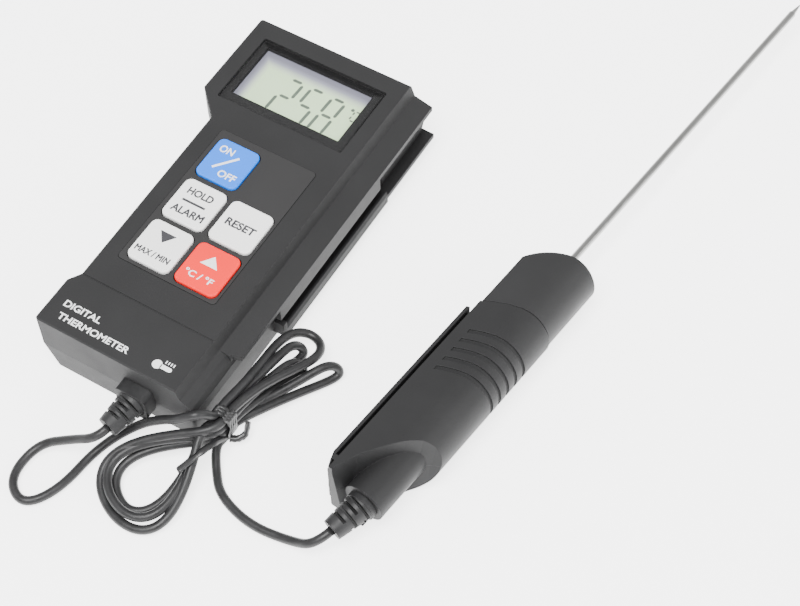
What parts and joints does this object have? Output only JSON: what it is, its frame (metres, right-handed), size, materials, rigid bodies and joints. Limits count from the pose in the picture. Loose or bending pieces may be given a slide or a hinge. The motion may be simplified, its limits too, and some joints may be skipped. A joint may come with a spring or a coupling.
{
  "type": "digital probe thermometer",
  "caption": "Handheld digital thermometer: slab meter with display, five keys and side dock, tied cord, and a handle with a long steel needle probe.",
  "frame": {"origin": "centre of the meter body in plan, on the flat back it rests on", "axes": "+X across the face towards the probe dock, +Y along the meter to the display end, +Z out of the face"},
  "size_m": [0.1297, 0.2514, 0.0244],
  "materials": {
    "housing_plastic": "fine satin grain, black",
    "handle_plastic": "satin black",
    "door_plastic": "satin black",
    "overlay_film": "matt black film",
    "key_blue": "satin, printed legend",
    "key_white": "satin, printed legend",
    "key_red": "satin, printed legend",
    "window_clear": "clear acrylic",
    "lcd_glass": "grey-green reflective display",
    "rubber_black": "matt",
    "cord_pvc": "satin",
    "tie_plastic": "glossy black film over wire",
    "steel": "drawn tube, polished",
    "screw_steel": "zinc plated",
    "board_green": "solder mask",
    "chip_black": "moulded",
    "buzzer_brass": "plain",
    "cell_jacket": "plain jacket",
    "contact_nickel": "nickel plated",
    "dome_silicone": "silicone",
    "label_film": "blank silver film",
    "wire_insulation": "plain"
  },
  "bodies": {
    "meter": {"front_housing": "housing_plastic", "rear_housing": "housing_plastic", "housing_screws": "screw_steel", "display_window": "window_clear", "lcd_panel": "lcd_glass", "lcd_frame": "chip_black", "zebra_strip_lower": "dome_silicone", "keypad_overlay": "overlay_film", "dome_power": "dome_silicone", "dome_hold": "dome_silicone", "dome_max_min": "dome_silicone", "dome_reset": "dome_silicone", "dome_unit": "dome_silicone", "main_board": "board_green", "processor": "chip_black", "piezo_buzzer": "buzzer_brass", "battery_cell_left": "cell_jacket", "battery_cell_right": "cell_jacket", "battery_spring_left": "contact_nickel", "battery_spring_right": "contact_nickel", "battery_contact_plate": "contact_nickel", "rating_label": "label_film", "meter_strain_relief": "rubber_black", "meter_wires": "wire_insulation", "cord_tail": "cord_pvc", "cord_hank": "cord_pvc", "twist_tie": "tie_plastic", "twist_tie_end_long": "tie_plastic", "twist_tie_end_curl": "tie_plastic"},
    "battery_door": {"battery_door": "door_plastic"},
    "probe": {"handle_upper_shell": "handle_plastic", "handle_lower_shell": "handle_plastic", "nose_cap": "handle_plastic", "probe_needle": "steel", "needle_ferrule": "buzzer_brass", "sensor_bead": "chip_black", "probe_leads": "wire_insulation", "handle_screws": "screw_steel", "probe_strain_relief": "rubber_black", "cord_lead": "cord_pvc"},
    "key_power": {"key_power": "key_blue"},
    "key_hold": {"key_hold": "key_white"},
    "key_max_min": {"key_max_min": "key_white"},
    "key_reset": {"key_reset": "key_white"},
    "key_unit": {"key_unit": "key_red"}
  },
  "joints": [
    {"name": "press_power", "type": "slide", "parent": "meter", "child": "key_power", "axis": [0, 0, -1], "range_m": [0, 0.0005], "stiffness_N_per_m": 1500, "springref_m": -0.0002},
    {"name": "press_hold", "type": "slide", "parent": "meter", "child": "key_hold", "axis": [0, 0, -1], "range_m": [0, 0.0005], "stiffness_N_per_m": 1500, "springref_m": -0.0002},
    {"name": "press_max_min", "type": "slide", "parent": "meter", "child": "key_max_min", "axis": [0, 0, -1], "range_m": [0, 0.0005], "stiffness_N_per_m": 1500, "springref_m": -0.0002},
    {"name": "press_reset", "type": "slide", "parent": "meter", "child": "key_reset", "axis": [0, 0, -1], "range_m": [0, 0.0005], "stiffness_N_per_m": 1500, "springref_m": -0.0002},
    {"name": "press_unit", "type": "slide", "parent": "meter", "child": "key_unit", "axis": [0, 0, -1], "range_m": [0, 0.0005], "stiffness_N_per_m": 1500, "springref_m": -0.0002},
    {"name": "door_slide", "type": "slide", "parent": "meter", "child": "battery_door", "axis": [0, 1, 0], "range_m": [0, 0.055]},
    {"name": "probe_lift", "type": "slide", "parent": "meter", "child": "probe", "axis": [0, 0, 1], "range_m": [0, 0.025]}
  ]
}
